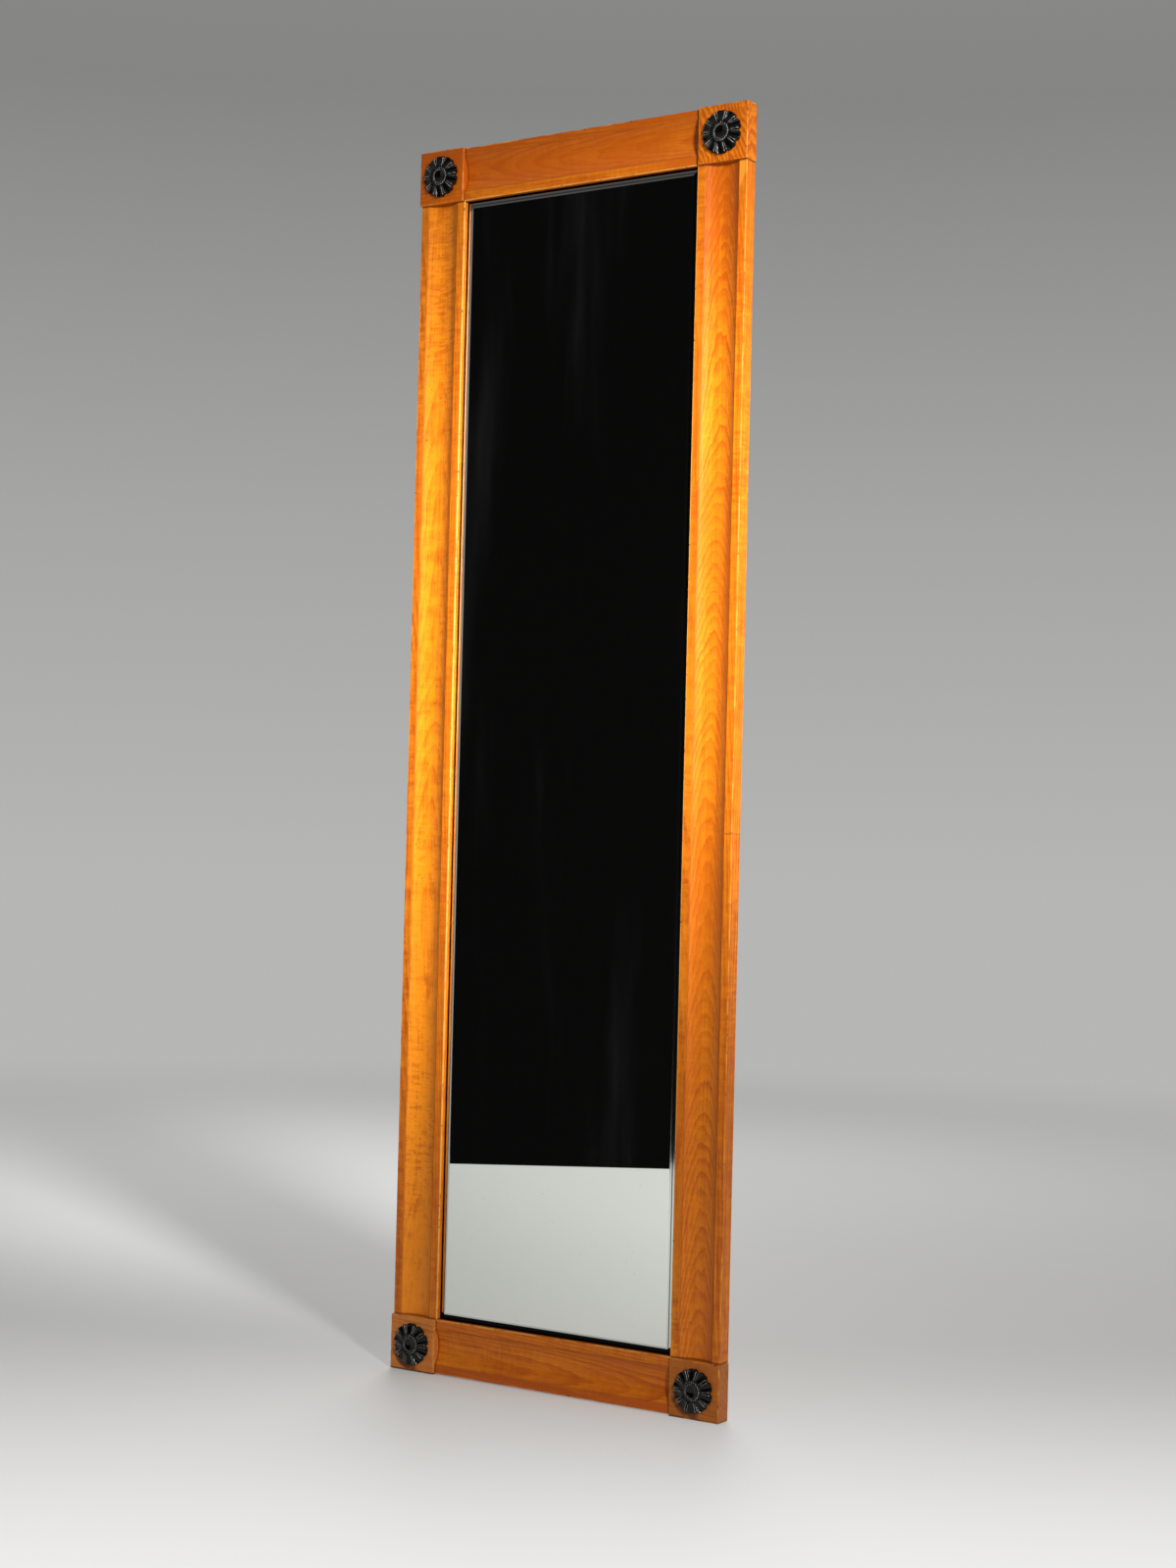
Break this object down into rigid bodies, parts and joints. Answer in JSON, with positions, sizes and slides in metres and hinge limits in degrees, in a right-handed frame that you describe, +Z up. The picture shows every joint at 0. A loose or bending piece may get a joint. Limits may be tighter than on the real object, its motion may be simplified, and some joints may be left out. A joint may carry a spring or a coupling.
{
  "type": "full-length mirror",
  "caption": "Tall framed floor mirror: bevelled plate in cherry-coloured cove mouldings, square corner blocks with black carved rosettes, boarded back with hanging rings.",
  "frame": {"origin": "on the floor, below the middle of the frame's width and of its whole depth from the rosettes to the hanging eyes", "axes": "+Z up, +X to the right seen from the front, +Y to the back, so the glass faces -Y"},
  "size_m": [0.66, 0.0494, 2.1],
  "materials": {
    "cherry_block": "shellac polish",
    "cherry_cove": "shellac polish",
    "cherry_strip": "shellac polish",
    "ebonised_wood": "black gloss polish",
    "softwood": "raw, aged",
    "silvered_plate": "silvered",
    "wrought_iron": "dark forge scale"
  },
  "bodies": {
    "frame": {"left_stile_core": "softwood", "left_stile_cove": "cherry_cove", "left_stile_outer_strip": "cherry_strip", "left_stile_sight_strip": "cherry_strip", "glazing_strip_left_stile": "softwood", "right_stile_core": "softwood", "right_stile_cove": "cherry_cove", "right_stile_outer_strip": "cherry_strip", "right_stile_sight_strip": "cherry_strip", "glazing_strip_right_stile": "softwood", "top_rail_core": "softwood", "top_rail_cove": "cherry_cove", "top_rail_outer_strip": "cherry_strip", "top_rail_sight_strip": "cherry_strip", "glazing_strip_top_rail": "softwood", "bottom_rail_core": "softwood", "bottom_rail_cove": "cherry_cove", "bottom_rail_outer_strip": "cherry_strip", "bottom_rail_sight_strip": "cherry_strip", "glazing_strip_bottom_rail": "softwood", "block_top_left": "cherry_block", "rosette_top_left": "ebonised_wood", "block_bottom_left": "cherry_block", "rosette_bottom_left": "ebonised_wood", "block_top_right": "cherry_block", "rosette_top_right": "ebonised_wood", "block_bottom_right": "cherry_block", "rosette_bottom_right": "ebonised_wood", "hanger_strap_left": "wrought_iron", "hanger_strap_right": "wrought_iron", "mirror_plate": "silvered_plate", "back_board_lower": "softwood", "back_board_middle": "softwood", "back_board_upper": "softwood", "back_board_nails": "wrought_iron", "hanger_nails": "wrought_iron"},
    "ring_left": {"hanger_ring_left": "wrought_iron"},
    "ring_right": {"hanger_ring_right": "wrought_iron"}
  },
  "joints": [
    {"name": "left_ring_swing", "type": "hinge", "parent": "frame", "child": "ring_left", "pos_m": [-0.28425, 0.0199, 1.68], "axis": [1, 0, 0], "range_deg": [0, 180]},
    {"name": "right_ring_swing", "type": "hinge", "parent": "frame", "child": "ring_right", "pos_m": [0.28425, 0.0199, 1.68], "axis": [1, 0, 0], "range_deg": [0, 180]}
  ]
}
